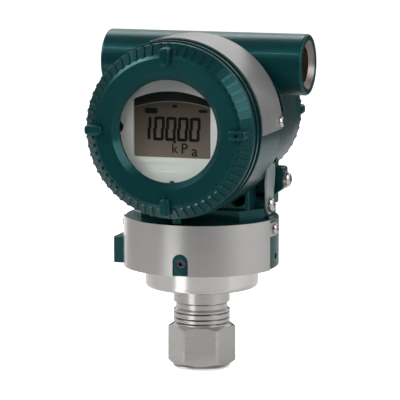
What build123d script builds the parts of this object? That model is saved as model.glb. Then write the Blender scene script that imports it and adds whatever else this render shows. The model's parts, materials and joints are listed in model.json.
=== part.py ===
from build123d import *
import os
from math import cos, radians, sin, sqrt

# A pressure transmitter for a vertical process connection, in millimetres.
# The origin is the centre of the process port's mouth, +Z is up and the display looks along -Y.

# Process connector: a hexagon under a grooved neck
port_bore_radius = 9.9
port_bore_depth = 19.0
collar_radius = 15.1
collar_height = 1.8
hex_across_flats = 31.75
hex_corner_radius = 17.9
hex_height = 21.6
hex_turned_angle = 14.9
hex_chamfer_rise = 1.8
neck_radius = 14.9
vee_groove_rises = (1.0, 3.4, 6.4)
vee_groove_depth = 1.1
vee_groove_width = 1.8
wide_groove_rise = 9.9
wide_groove_width = 2.4
wide_groove_depth = 1.2
wide_groove_slope = 1.0
pressure_passage_radius = 2.5
chamber_radius = 13.0
chamber_depth = 0.8

# Heights above the port mouth
sensor_bottom = 43.4
drum_bottom = 54.9
drum_top = 81.5
pedestal_top = 87.0
barrel_z = 131.85

# Sensor body and what is in it
sensor_radius = 30.0
sensor_edge_round = 2.5
stem_radius = 9.0
stem_length = 13.6
stem_bore_radius = 3.5
weld_spigot_radius = 17.5
weld_spigot_height = 2.6
diaphragm_radius = 14.5
diaphragm_thickness = 0.4
header_height = 9.0
header_pin_count = 5
header_pin_circle = 2.0
header_pin_radius = 0.4
header_pin_length = 4.0
swivel_clearance = 0.15
lock_groove_depth = 1.5
lock_groove_width = 6.6
skirt_seal_wire = 1.2
skirt_seal_z = 70.5

# Drum, the skirt of the casting that turns on the sensor body
drum_radius = 40.8
drum_roof = 4.6
drum_edge_chamfer = 0.8
sheet_thickness = 0.6
band_left_angle = 75.0
band_end_angle = 77.5
band_tongue_angle = 88.0
band_tongue_bottom = 72.6
band_screw_angle = 85.6
band_screw_z = 76.2
band_notch_half_width = 4.1
band_notch_top = 66.6
lock_screw_angle = 2.4
lock_screw_z = 61.4
lock_screw_radius = 2.4
lock_screw_recess = 0.6
side_lock_angle = 90.0
side_lock_radius = 1.65
side_lock_recess = 3.0
socket_share = 0.62
socket_depth = 2.2
bracket_lug_face = 46.2
bracket_lug_half_width = 10.0
bracket_lug_top = 68.8
bracket_lug_round = 1.0
bracket_hole_radius = 3.4
bracket_hole_depth = 9.0
shoulder_front_angle = 83.4
shoulder_rear_angle = 118.0
shoulder_rise = 0.8
shoulder_slope = 2.4

# Barrel, the housing for the electronics
barrel_radius = 46.2
barrel_front = -43.5
barrel_taper_start = -9.5
barrel_rear = 46.5
barrel_rear_radius = 38.2
barrel_edge_round = 0.5
rim_front = -46.5
rim_radius = 43.6
front_thread_radius = 41.0
front_thread_end = -32.0
front_room_radius = 38.5
wall_front = 10.5
wall_rear = 14.5
amplifier_reach = 5.0
rear_room_radius = 34.6
rear_thread_radius = 33.6
rear_thread_start = 34.5
thread_clearance = 0.3

# Conduit tube across the barrel
tube_length = 110.0
tube_radius = 16.1
tube_y = 11.2
tube_z = 161.3
tube_edge_round = 1.2
conduit_thread_radius = 9.9
conduit_thread_depth = 20.0
conduit_mouth_radius = 12.8
conduit_mouth_depth = 3.0
conduit_passage_radius = 5.0
cheek_bottom = 138.1
cheek_height = 0.9

# Neck between the barrel and the drum
neck_half_width = 30.5
neck_front = -15.0
neck_rear = 24.0
neck_edge_round = 1.0
neck_bore_radius = 9.6
neck_hole_x = 24.6
neck_hole_z = 92.9
neck_hole_radius = 4.2
neck_hole_depth = 14.0
neck_top = 105.0
pedestal_front = -20.0
pedestal_rear = 28.0
pedestal_nose = 27.0
pedestal_side = 36.0
pedestal_side_front = -5.5
pedestal_side_rear = 16.0
flank_front = 1.8
flank_rear = 21.0
flank_top = 110.5

# Cuts between the casting's pieces: the drum's height, and the room left round the tube and the lug
drum_cut = 82.6
cut_margin = 0.5

# Leaf over the zero adjuster, and the earth terminal behind it
leaf_thickness = 1.0
leaf_gap = 0.3
leaf_pivot_y = 0.6
leaf_pivot_z = 88.3
leaf_foot_radius = 5.3
leaf_height = 23.9
leaf_front_width = 6.1
leaf_rear_width = 9.9
leaf_corner_round = 1.2
leaf_swing_clearance = 1.2
adjuster_y = 5.4
adjuster_z = 100.0
adjuster_radius = 3.2
adjuster_length = 7.0
adjuster_slot_width = 1.0
adjuster_slot_depth = 1.2
adjuster_seal_wire = 0.6
adjuster_seal_depth = 4.5
earth_face_x = 41.0
earth_front = 11.7
earth_top = 106.5
earth_bottom = 95.2
earth_slope = 3.4
earth_round = 1.4
earth_screw_y = 16.3
earth_screw_z = 99.7
earth_washer_radius = 4.5
earth_washer_thickness = 0.8

# Screws: shank radius, head radius and head height
small_screw = (1.5, 2.9, 1.7)
pan_screw = (2.0, 3.9, 2.4)
cross_width = 0.7
cross_depth = 0.9

# Cover lock posts, each with a set screw
lock_post_radius = 2.3
front_post_y = -41.1
front_post_bottom = 82.9
rear_post_y = 43.9
rear_post_drop = 4.5
post_screw_radius = 1.6
post_screw_recess = 0.8

# Front cover, with its window
cover_flange_radius = 45.7
cover_flange_rear = -46.8
cover_flange_front = -49.0
cover_groove_depth = 0.6
cover_groove_width = 0.9
cover_body_radius = 45.0
shoulder_start = -52.8
shoulder_round = 1.6
rib_foot_radius = 39.3
rib_foot_y = -58.0
ring_edge_radius = 37.6
ring_front = -59.0
dish_inner_radius = 29.4
dish_inner_y = -58.3
window_radius = 26.3
window_edge_y = -55.2
glass_radius = 31.0
glass_seat_y = -54.4
glass_thickness = 5.0
gasket_thickness = 0.6
retainer_bore_radius = 28.7
retainer_depth = 3.2
skirt_wall = 4.6
skirt_end = -33.5
cover_seal_wire = 0.9
rib_count = 60
rib_width = 1.6
rib_height = 0.95
rib_root = 0.6
lug_count = 4
lug_width = 5.8
lug_inner_radius = 33.5
lug_outer_radius = 43.2
lug_front = -62.4
lug_root_y = -53.0
lug_draft = 2
lug_corner_round = 2.2
lug_edge_round = 1.4
lug_dimple_radius = 0.9
lug_dimple_depth = 1.2

# Rear cover
rear_flange_front = 46.8
rear_cover_radius = 38.0
rear_shoulder_start = 57.0
rear_rib_foot_radius = 33.4
rear_rib_foot_y = 61.4
rear_ring_radius = 32.4
rear_ring_y = 62.2
rear_dish_radius = 25.0
rear_dish_depth = 1.4
rear_floor_thickness = 3.6
rear_skirt_wall = 4.0
rear_skirt_end = 35.5
rear_rib_count = 48
rear_lug_back = 65.4
rear_lug_root_y = 57.4
rear_lug_inner_radius = 28.5
rear_lug_outer_radius = 38.3
rear_lug_width = 5.9

# Display
bezel_radius = 27.9
bezel_face_y = -47.5
bezel_thickness = 1.5
screen_half_width = 20.75
screen_bottom = -14.2
screen_shoulder = 15.3
screen_top = 19.9
screen_corner_round = 1.2
screen_border = 1.3
field_half_width = 14.9
field_top = -17.1
field_bottom = -21.4
field_depth = 0.3
bezel_notch_radius = 3.2
bezel_key_radius = 1.9
bezel_key_circle = 27.9
bezel_key_angles = (-90.0, -65.0)
panel_thickness = 2.6
carrier_flange_radius = 34.5
carrier_flange_front = -41.0
carrier_flange_thickness = 1.6
panel_clearance = 0.1
carrier_radius = 27.4
carrier_slot_width = 24.0
carrier_slot_height = 3.0
carrier_slot_z = -10.0
display_board_radius = 25.6
board_thickness = 1.6
display_screw_x = 29.3
display_screw_z = 0.85
display_post_radius = 3.2

# Amplifier unit in the front room
amplifier_radius = 36.0
amplifier_front = -31.5
amplifier_rear = 2.0
amplifier_wall = 2.0
amplifier_post_radius = 3.4
amplifier_board_front = -6.0
amplifier_ledge = 2.0
lead_radius = 1.8
lead_plug_radius = 3.0
lead_plug_length = 6.0
amplifier_screw_circle = 31.0

# Terminal block in the rear room
block_half_width = 24.0
block_bottom = -17.0
block_top = 11.0
block_depth = 15.0
block_edge_chamfer = 1.2
terminal_count = 5
terminal_pitch = 8.6
terminal_z = -8.0
terminal_depth = 9.0
clamp_radius = 3.7
clamp_thickness = 0.8
block_screw_x = 17.0
block_screw_z = 3.0
bush_radius = 5.0
bush_flange_radius = 6.5
bush_flange_thickness = 2.0
bush_z = 3.0
block_recess_radius = 6.0
block_recess_depth = 4.0
room_screw_x = -15.0
room_screw_z = -25.0

# Name band round the barrel
name_band_low_angle = -2.4
name_band_high_angle = 107.0
name_band_corner = 1.2
name_screw_angle = 2.3
name_screw_y = -12.3

# Clearances: between pieces that move, and between round faces that sit together
running_gap = 0.3
seat_gap = 0.05

sensor_top = drum_top - drum_roof - running_gap
skirt_radius = front_thread_radius - thread_clearance
rear_skirt_radius = rear_thread_radius - thread_clearance
hex_top = collar_height + hex_height

barrel_axis = Axis((0, 0, barrel_z), (0, 1, 0))
barrel_section = Plane(origin=(0, 0, barrel_z), x_dir=(0, 1, 0), z_dir=(1, 0, 0))


def facing_front(y, z=barrel_z, x=0):
    """A plane that looks at the viewer, with X to the right and Z up."""
    return Plane(origin=(x, y, z), x_dir=(1, 0, 0), z_dir=(0, -1, 0))


def facing_rear(y, z=barrel_z, x=0):
    """A plane that looks to the rear, with X to the left and Z up."""
    return Plane(origin=(x, y, z), x_dir=(-1, 0, 0), z_dir=(0, 1, 0))


def facing_right(x, y=0, z=0):
    """A plane that looks along +X, with Y to the right and Z up."""
    return Plane(origin=(x, y, z), x_dir=(0, 1, 0), z_dir=(1, 0, 0))


def facing_left(x, y=0, z=0):
    """A plane that looks along -X."""
    return Plane(origin=(x, y, z), x_dir=(0, -1, 0), z_dir=(-1, 0, 0))


def facing_down(z, x=0, y=0):
    """A plane that looks down."""
    return Plane(origin=(x, y, z), x_dir=(1, 0, 0), z_dir=(0, 0, -1))


def on_drum(angle, radius, z):
    """A plane that looks out of the drum, at an angle counted from the front towards +X."""
    outward = Vector(sin(radians(angle)), -cos(radians(angle)), 0)
    along = Vector(cos(radians(angle)), sin(radians(angle)), 0)
    return Plane(origin=outward * radius + Vector(0, 0, z), x_dir=along, z_dir=outward)


def on_barrel(angle, radius, y):
    """A plane that looks out of the barrel, at an angle counted from +X towards the top."""
    outward = Vector(cos(radians(angle)), 0, sin(radians(angle)))
    return Plane(origin=outward * radius + Vector(0, y, barrel_z), x_dir=(0, 1, 0), z_dir=outward)


def through(plane):
    """The plane that holds another's normal: x stays, y runs along the normal."""
    return Plane(origin=plane.origin, x_dir=plane.x_dir, z_dir=-plane.y_dir)


def outline(points, plane):
    """A closed outline of straight edges."""
    with BuildSketch(plane) as drawn:
        with BuildLine():
            Polyline(*points, close=True)
        make_face()
    return drawn.sketch


def disc(radius, plane, inner=0, at=(0, 0)):
    """A disc, or a ring where an inner radius is given."""
    with BuildSketch(plane) as drawn:
        with Locations(at):
            Circle(radius)
            if inner:
                Circle(inner, mode=Mode.SUBTRACT)
    return drawn.sketch


def block(corner, opposite, mode=Mode.ADD):
    """A box between two corners."""
    size = [b - a for a, b in zip(corner, opposite)]
    with Locations(tuple(a + s / 2 for a, s in zip(corner, size))):
        Box(*size, mode=mode)


def drum_section(angle):
    """The half plane through the vertical axis at an angle counted from the front towards +X."""
    outward = on_drum(angle, 0, 0).z_dir
    return Plane(origin=(0, 0, 0), x_dir=outward, z_dir=outward.cross(Vector(0, 0, 1)))


def turn(points, plane=barrel_section, axis=barrel_axis, mode=Mode.ADD):
    """An outline turned into a solid of revolution."""
    revolve(outline(points, plane), axis=axis, mode=mode)


def ring_edges(part, radius, tolerance=0.01):
    """The full round edges of one radius."""
    rounds = part.edges().filter_by(GeomType.CIRCLE)
    return rounds.filter_by(lambda edge: abs(edge.radius - radius) < tolerance)


def shoulder_ribs(foot, crest, count):
    """Ribs on a turned shoulder, between its foot and its crest, each given as (y, radius)."""
    rise, fall = crest[0] - foot[0], crest[1] - foot[1]
    slope = sqrt(rise ** 2 + fall ** 2)
    out_y = -rib_height * fall / slope * (1 if rise > 0 else -1)
    out_r = rib_height * abs(rise) / slope
    zone = [
        (foot[0], foot[1] - rib_root),
        (foot[0] + out_y, foot[1] + out_r),
        (crest[0] + out_y, crest[1] + out_r - rib_root),
        (crest[0], crest[1] - rib_root),
        (crest[0], foot[1] - rib_root),
    ]
    with BuildPart() as ribs:
        turn(zone)
        with BuildSketch(facing_front(max(foot[0], crest[0]) + 2)):
            with PolarLocations((foot[1] + crest[1]) / 2, count):
                Rectangle(2 * fall, rib_width)
        extrude(amount=abs(rise) + 4, mode=Mode.INTERSECT)
    return ribs.part


def cover_lugs(plane, inner, outer, width, height):
    """Lugs on a cover's ring, which a bar turns it by."""
    with BuildSketch(plane) as footprint:
        with PolarLocations((inner + outer) / 2, lug_count):
            RectangleRounded(outer - inner, width, lug_corner_round)
    extrude(footprint.sketch, amount=height, taper=lug_draft)


def screen_shape(plane, grow=0):
    """The screen's outline, arched at the top, with a margin round it."""
    side = screen_half_width + grow
    with BuildSketch(plane) as shape:
        with BuildLine():
            Polyline((side, screen_shoulder), (side, screen_bottom - grow), (-side, screen_bottom - grow),
                     (-side, screen_shoulder))
            ThreePointArc((-side, screen_shoulder), (0, screen_top + grow), (side, screen_shoulder))
        make_face()
        fillet(shape.vertices(), screen_corner_round)
    return shape.sketch


def seal_ring(centre_radius, wire, middle, axis):
    """A ring of round section."""
    plane = Plane(origin=middle, z_dir=axis)
    with BuildSketch(through(plane)) as section:
        with Locations((centre_radius, 0)):
            Circle(wire)
    revolve(section.sketch, axis=Axis(plane.origin, plane.z_dir))


def pan_head_screw(plane, sizes, length):
    """A screw whose domed head sits on a plane, with a cross recess and its shank behind the plane."""
    shank, head, height = sizes
    with BuildSketch(through(plane)) as half:
        with BuildLine():
            Polyline((0, height), (0, -length), (shank, -length), (shank, 0), (head, 0), (head, height * 0.4))
            RadiusArc((head, height * 0.4), (head * 0.45, height), -head * 0.62)
            Line((head * 0.45, height), (0, height))
        make_face()
    revolve(half.sketch, axis=Axis(plane.origin, plane.z_dir))
    with BuildSketch(plane.offset(height)) as recess:
        Rectangle(head * 1.1, cross_width)
        Rectangle(cross_width, head * 1.1)
    extrude(recess.sketch, amount=-cross_depth, mode=Mode.SUBTRACT)


def socket_screw(plane, radius, length):
    """A set screw whose end lies on a plane, with a hexagon socket in it."""
    extrude(disc(radius, plane), amount=-length)
    with BuildSketch(plane) as socket:
        RegularPolygon(radius * socket_share, 6)
    extrude(socket.sketch, amount=-socket_depth, mode=Mode.SUBTRACT)


def bore(plane, radius, depth):
    """A blind hole into the solid behind a plane."""
    extrude(disc(radius, plane), amount=-depth, mode=Mode.SUBTRACT)


os.makedirs("parts", exist_ok=True)

# Process connector, one turned bar: port, hexagon, grooved neck and weld spigot
with BuildPart() as process_connector:
    with BuildSketch(Plane.XY.offset(collar_height)):
        RegularPolygon(hex_across_flats / 2, 6, major_radius=False, rotation=hex_turned_angle)
    extrude(amount=hex_height)
    blank = [
        (0, collar_height),
        (collar_radius, collar_height),
        (hex_corner_radius, collar_height + hex_chamfer_rise),
        (hex_corner_radius, hex_top - hex_chamfer_rise),
        (collar_radius, hex_top),
        (0, hex_top),
    ]
    turn(blank, Plane.XZ, Axis.Z, Mode.INTERSECT)
    extrude(disc(collar_radius, Plane.XY), amount=collar_height)
    chamfer(process_connector.edges().group_by(Axis.Z)[0], 0.4)
    extrude(disc(neck_radius, Plane.XY.offset(hex_top)), amount=sensor_bottom - hex_top)
    weld_plane = Plane.XY.offset(sensor_bottom)
    extrude(disc(weld_spigot_radius, weld_plane), amount=weld_spigot_height)
    for rise in vee_groove_rises:
        vee = [
            (neck_radius - vee_groove_depth, hex_top + rise),
            (collar_radius + 1, hex_top + rise - vee_groove_width / 2),
            (collar_radius + 1, hex_top + rise + vee_groove_width / 2),
        ]
        turn(vee, Plane.XZ, Axis.Z, Mode.SUBTRACT)
    groove_floor = neck_radius - wide_groove_depth
    low_edge = hex_top + wide_groove_rise - wide_groove_width / 2
    high_edge = hex_top + wide_groove_rise + wide_groove_width / 2
    wide = [
        (groove_floor, low_edge),
        (neck_radius, low_edge - wide_groove_slope),
        (neck_radius + 1, low_edge - wide_groove_slope),
        (neck_radius + 1, high_edge + wide_groove_slope),
        (neck_radius, high_edge + wide_groove_slope),
        (groove_floor, high_edge),
    ]
    turn(wide, Plane.XZ, Axis.Z, Mode.SUBTRACT)
    spigot_top = sensor_bottom + weld_spigot_height
    port = [
        (0, 0),
        (port_bore_radius, 0),
        (port_bore_radius, port_bore_depth),
        (pressure_passage_radius, port_bore_depth + 4),
        (pressure_passage_radius, spigot_top - chamber_depth),
        (chamber_radius, spigot_top - chamber_depth),
        (chamber_radius, spigot_top),
        (0, spigot_top),
    ]
    turn(port, Plane.XZ, Axis.Z, Mode.SUBTRACT)
process_connector.part.label = "process_connector"
export_step(process_connector.part, "parts/process_connector.step")

# Isolating diaphragm, a thin disc welded over the pressure chamber
with BuildPart() as isolating_diaphragm:
    extrude(disc(diaphragm_radius, Plane.XY.offset(spigot_top)), amount=diaphragm_thickness)
isolating_diaphragm.part.label = "isolating_diaphragm"
export_step(isolating_diaphragm.part, "parts/isolating_diaphragm.step")

# Sensor header, which holds the pressure cell, with its contact pins
header_bottom = spigot_top + diaphragm_thickness
with BuildPart() as sensor_header:
    extrude(disc(diaphragm_radius, Plane.XY.offset(header_bottom)), amount=header_height)
    chamfer(sensor_header.edges().group_by(Axis.Z)[-1], 0.8)
    with BuildSketch(Plane.XY.offset(header_bottom + header_height)):
        with PolarLocations(header_pin_circle, header_pin_count):
            Circle(header_pin_radius)
    extrude(amount=header_pin_length)
sensor_header.part.label = "sensor_header"
export_step(sensor_header.part, "parts/sensor_header.step")

# Sensor body, which the whole housing turns on
with BuildPart() as sensor_body:
    shell = [
        (weld_spigot_radius + seat_gap, sensor_bottom),
        (sensor_radius, sensor_bottom),
        (sensor_radius, sensor_top),
        (stem_radius, sensor_top),
        (stem_radius, sensor_top + stem_length),
        (stem_bore_radius, sensor_top + stem_length),
        (stem_bore_radius, header_bottom + header_height + seat_gap),
        (diaphragm_radius + seat_gap, header_bottom + header_height + seat_gap),
        (diaphragm_radius + seat_gap, spigot_top),
        (weld_spigot_radius + seat_gap, spigot_top),
    ]
    turn(shell, Plane.XZ, Axis.Z)
    rim = ring_edges(sensor_body, sensor_radius).sort_by(Axis.Z)
    fillet(rim[0], sensor_edge_round)
    chamfer(ring_edges(sensor_body, sensor_radius).sort_by(Axis.Z)[-1], 0.8)
    for groove_z, depth, width in (
        (lock_screw_z, lock_groove_depth, lock_groove_width),
        (skirt_seal_z, 2 * skirt_seal_wire + seat_gap - swivel_clearance, 2.6 * skirt_seal_wire),
    ):
        groove = [
            (sensor_radius - depth, groove_z - width / 2),
            (sensor_radius + 1, groove_z - width / 2),
            (sensor_radius + 1, groove_z + width / 2),
            (sensor_radius - depth, groove_z + width / 2),
        ]
        turn(groove, Plane.XZ, Axis.Z, Mode.SUBTRACT)
sensor_body.part.label = "sensor_body"
export_step(sensor_body.part, "parts/sensor_body.step")

# Seal between the sensor body and the drum
with BuildPart() as skirt_seal:
    seal_radius = sensor_radius + swivel_clearance - skirt_seal_wire - seat_gap
    seal_ring(seal_radius, skirt_seal_wire, (0, 0, skirt_seal_z), (0, 0, 1))
skirt_seal.part.label = "skirt_seal"
export_step(skirt_seal.part, "parts/skirt_seal.step")


def taper_radius(y):
    """The barrel's outer radius behind the name band."""
    share = (y - barrel_taper_start) / (barrel_rear - barrel_taper_start)
    return barrel_radius + share * (barrel_rear_radius - barrel_radius)


# Flat cheek under each end of the conduit tube, cut from a slightly larger cone
cheek_front = tube_y - tube_radius
cheek_rear = tube_y + tube_radius
with BuildPart() as cheek:
    cone = [
        (cheek_front, 0),
        (cheek_front, taper_radius(cheek_front) + cheek_height),
        (cheek_rear, taper_radius(cheek_rear) + cheek_height),
        (cheek_rear, 0),
    ]
    turn(cone)
    with Locations((0, tube_y, (cheek_bottom + tube_z) / 2)):
        Box(tube_length, 2 * tube_radius, tube_z - cheek_bottom, mode=Mode.INTERSECT)

# Housing casting as poured and machined: barrel, conduit tube, neck, pedestal, drum and its lugs
leaf_seat_x = pedestal_side
pivot_seat = facing_right(leaf_seat_x, leaf_pivot_y, leaf_pivot_z)
adjuster_seat = facing_right(leaf_seat_x, adjuster_y, adjuster_z)
earth_seat = facing_right(earth_face_x, earth_screw_y, earth_screw_z)
room_screw_seat = facing_rear(wall_rear, barrel_z + room_screw_z, room_screw_x)
rear_post_bottom = barrel_z - barrel_rear_radius - rear_post_drop
bracket_hole_z = (drum_bottom + bracket_lug_top) / 2
leaf_reach = leaf_height + leaf_swing_clearance
with BuildPart() as whole_casting:
    barrel = [
        (rim_front, 0),
        (rim_front, rim_radius),
        (barrel_front, rim_radius),
        (barrel_front, barrel_radius),
        (barrel_taper_start, barrel_radius),
        (barrel_rear, barrel_rear_radius),
        (barrel_rear, 0),
    ]
    turn(barrel)
    fillet(ring_edges(whole_casting, barrel_radius).sort_by(Axis.Y)[0], barrel_edge_round)
    add(cheek.part)
    extrude(disc(tube_radius, facing_right(-tube_length / 2, tube_y, tube_z)), amount=tube_length)
    tube_ends = ring_edges(whole_casting, tube_radius)
    fillet(tube_ends.filter_by(lambda edge: abs(edge.center().X) > tube_length / 2 - 1), tube_edge_round)

    block((-neck_half_width, neck_front, pedestal_top), (neck_half_width, neck_rear, neck_top))
    neck_corners = whole_casting.edges().filter_by(Axis.Z)
    neck_corners = neck_corners.filter_by(lambda e: abs(abs(e.center().X) - neck_half_width) < 0.01)
    fillet(neck_corners, neck_edge_round)
    block((0, flank_front, pedestal_top), (leaf_seat_x, flank_rear, flank_top))

    # Pocket in the barrel's flank, in which the leaf swings
    with BuildSketch(facing_right(leaf_seat_x)):
        with Locations((leaf_pivot_y, leaf_pivot_z)):
            Circle(leaf_reach)
        with Locations((leaf_pivot_y, leaf_pivot_z - leaf_reach)):
            Rectangle(2 * leaf_reach, 2 * leaf_reach, mode=Mode.SUBTRACT)
    extrude(amount=barrel_radius - leaf_seat_x + 1, mode=Mode.SUBTRACT)

    # Pivot boss of the leaf, and the earth terminal's lug
    extrude(disc(leaf_foot_radius, pivot_seat), amount=-(leaf_seat_x - neck_half_width + 1))
    earth_lug = [
        (neck_half_width, earth_top),
        (earth_face_x, earth_top),
        (earth_face_x, earth_bottom),
        (leaf_seat_x, earth_bottom - earth_slope),
        (neck_half_width, earth_bottom - earth_slope),
    ]
    extrude(outline(earth_lug, facing_front(earth_front, 0)), amount=earth_front - flank_rear)
    corner = whole_casting.edges().filter_by(Axis.Y)
    corner = corner.filter_by(lambda e: abs(e.center().X - earth_face_x) < 0.01)
    fillet(corner, earth_round)

    # Pedestal, with its front corners cut back
    pedestal = [
        (-pedestal_nose, pedestal_front),
        (pedestal_nose, pedestal_front),
        (pedestal_side, pedestal_side_front),
        (pedestal_side, pedestal_side_rear),
        (pedestal_nose, pedestal_rear),
        (-pedestal_nose, pedestal_rear),
        (-pedestal_side, pedestal_side_rear),
        (-pedestal_side, pedestal_side_front),
    ]
    extrude(outline(pedestal, Plane.XY.offset(drum_top)), amount=pedestal_top - drum_top)

    # Drum, its raised shoulder beside the leaf and the bracket lug
    extrude(disc(drum_radius, Plane.XY.offset(drum_bottom)), amount=drum_top - drum_bottom)
    chamfer(ring_edges(whole_casting, drum_radius), drum_edge_chamfer)
    shoulder = [
        (pedestal_side - 2, drum_top - 6),
        (drum_radius, drum_top - 6),
        (drum_radius, drum_top + shoulder_rise - shoulder_slope),
        (drum_radius - shoulder_slope, drum_top + shoulder_rise),
        (pedestal_side - 2, drum_top + shoulder_rise),
    ]
    revolve(outline(shoulder, drum_section(shoulder_front_angle)), axis=Axis.Z,
            revolution_arc=shoulder_rear_angle - shoulder_front_angle)
    block((-bracket_lug_face, -bracket_lug_half_width, drum_bottom),
          (-drum_radius + 6, bracket_lug_half_width, bracket_lug_top))
    lug_edges = whole_casting.edges().filter_by(Axis.Z)
    lug_edges = lug_edges.filter_by(lambda e: abs(e.center().X + bracket_lug_face) < 0.01)
    fillet(lug_edges, bracket_lug_round)

    # Lock posts under both rims
    front_post = Plane.XY.offset(front_post_bottom)
    extrude(disc(lock_post_radius, front_post, at=(0, front_post_y)), amount=barrel_z - barrel_radius + 2
            - front_post_bottom)
    rear_post = Plane.XY.offset(rear_post_bottom)
    extrude(disc(lock_post_radius, rear_post, at=(0, rear_post_y)), amount=rear_post_drop + 2)

    # Rooms for the electronics and the terminals
    front_room = [
        (rim_front, 0),
        (rim_front, front_thread_radius),
        (front_thread_end, front_thread_radius),
        (front_thread_end, front_room_radius),
        (wall_front, front_room_radius),
        (wall_front, 0),
    ]
    turn(front_room, mode=Mode.SUBTRACT)
    rear_room = [
        (wall_rear, 0),
        (wall_rear, rear_room_radius),
        (rear_thread_start, rear_room_radius),
        (rear_thread_start, rear_thread_radius),
        (barrel_rear, rear_thread_radius),
        (barrel_rear, 0),
    ]
    turn(rear_room, mode=Mode.SUBTRACT)
    bore(facing_rear(wall_rear, barrel_z + bush_z), bush_radius + seat_gap, wall_rear - wall_front)

    # Posts for the amplifier unit, on the wall between the rooms
    with BuildSketch(facing_front(wall_front)):
        with PolarLocations(amplifier_screw_circle, 2, start_angle=90):
            Circle(amplifier_post_radius)
            Circle(small_screw[0] + seat_gap, mode=Mode.SUBTRACT)
    extrude(amount=wall_front - amplifier_rear)

    # Conduit ports and the passages into the terminal room
    for side in (-1, 1):
        mouth = Plane(origin=(side * tube_length / 2, tube_y, tube_z), x_dir=(0, 1, 0), z_dir=(side, 0, 0))
        port = [
            (0, 0),
            (conduit_mouth_radius, 0),
            (conduit_thread_radius, -conduit_mouth_depth),
            (conduit_thread_radius, -conduit_thread_depth),
            (0, -conduit_thread_depth),
        ]
        turn(port, through(mouth), Axis(mouth.origin, mouth.z_dir), Mode.SUBTRACT)
        passage_y = wall_rear + conduit_passage_radius + 0.5
        passage = Plane(origin=(side * (tube_length / 2 - conduit_thread_depth + 1), passage_y, tube_z),
                        x_dir=(0, 1, 0), z_dir=(side, 0, 0))
        bore(passage, conduit_passage_radius, tube_length / 2 - conduit_thread_depth - 8)

    # Drum bore, which takes the sensor body, and the neck bore above it
    bore(facing_down(drum_bottom), sensor_radius + swivel_clearance, drum_top - drum_roof - drum_bottom)
    neck_bore_top = barrel_z - sqrt(front_room_radius ** 2 - neck_bore_radius ** 2) + 1
    bore(facing_down(drum_bottom), neck_bore_radius, neck_bore_top - drum_bottom)

    # Holes for the screws and the adjuster, and the round recess in the neck's front
    bore(on_drum(lock_screw_angle, drum_radius + 1, lock_screw_z), lock_screw_radius + seat_gap,
         drum_radius + 1 - sensor_radius)
    bore(on_drum(side_lock_angle, drum_radius + 1, lock_screw_z), side_lock_radius + seat_gap,
         drum_radius + 1 - sensor_radius)
    for side in (-1, 1):
        bore(on_drum(side * band_screw_angle, drum_radius, band_screw_z), small_screw[0] + seat_gap, 6.5)
    bore(on_barrel(name_screw_angle, barrel_radius, name_screw_y), small_screw[0] + seat_gap, 5)
    bore(facing_left(-bracket_lug_face, 0, bracket_hole_z), bracket_hole_radius, bracket_hole_depth)
    bore(pivot_seat, pan_screw[0] + seat_gap, 8)
    bore(adjuster_seat, adjuster_radius + running_gap, adjuster_length + 2 * leaf_gap)
    bore(earth_seat, pan_screw[0] + seat_gap, 8)
    bore(facing_front(neck_front, neck_hole_z, neck_hole_x), neck_hole_radius, neck_hole_depth)
    bore(facing_down(front_post_bottom, 0, front_post_y), post_screw_radius + seat_gap,
         barrel_z - front_thread_radius + 1 - front_post_bottom)
    bore(facing_down(rear_post_bottom, 0, rear_post_y), post_screw_radius + seat_gap,
         barrel_z - rear_thread_radius + 1 - rear_post_bottom)
    bore(room_screw_seat, pan_screw[0] + seat_gap, 3)
    for side in (-1, 1):
        bore(facing_rear(wall_rear, barrel_z + block_screw_z, side * block_screw_x),
             small_screw[0] + seat_gap, 3)

# The casting in five pieces that meet face to face: each threaded hole goes through a small piece of
# its own, which ends where the hole does
tube_cut = tube_length / 2 - conduit_thread_depth
tube_zone_low = (tube_y - tube_radius - cut_margin, tube_z - tube_radius - cut_margin)
tube_zone_high = (tube_y + tube_radius + cut_margin, tube_z + tube_radius + cut_margin)
right_end_zone = ((tube_cut, *tube_zone_low), (tube_length / 2 + cut_margin, *tube_zone_high))
left_end_zone = ((-tube_length / 2 - cut_margin, *tube_zone_low), (-tube_cut, *tube_zone_high))
drum_zone = (
    (-bracket_lug_face - cut_margin, -drum_radius - cut_margin, drum_bottom - cut_margin),
    (drum_radius + cut_margin, drum_radius + cut_margin, drum_cut),
)
lug_zone = (
    (-bracket_lug_face - cut_margin, -bracket_lug_half_width - cut_margin, drum_bottom - cut_margin),
    (-bracket_lug_face + bracket_hole_depth, bracket_lug_half_width + cut_margin,
     bracket_lug_top + cut_margin),
)

with BuildPart() as conduit_end_right:
    add(whole_casting.part)
    block(*right_end_zone, mode=Mode.INTERSECT)
conduit_end_right.part.label = "conduit_end_right"
export_step(conduit_end_right.part, "parts/conduit_end_right.step")

with BuildPart() as conduit_end_left:
    add(whole_casting.part)
    block(*left_end_zone, mode=Mode.INTERSECT)
conduit_end_left.part.label = "conduit_end_left"
export_step(conduit_end_left.part, "parts/conduit_end_left.step")

with BuildPart() as bracket_lug:
    add(whole_casting.part)
    block(*lug_zone, mode=Mode.INTERSECT)
bracket_lug.part.label = "bracket_lug"
export_step(bracket_lug.part, "parts/bracket_lug.step")

with BuildPart() as housing_drum:
    add(whole_casting.part)
    block(*drum_zone, mode=Mode.INTERSECT)
    block(*lug_zone, mode=Mode.SUBTRACT)
housing_drum.part.label = "housing_drum"
export_step(housing_drum.part, "parts/housing_drum.step")

with BuildPart() as housing_casting:
    add(whole_casting.part)
    for zone in (right_end_zone, left_end_zone, drum_zone):
        block(*zone, mode=Mode.SUBTRACT)
housing_casting.part.label = "housing_casting"
export_step(housing_casting.part, "parts/housing_casting.step")

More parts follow.
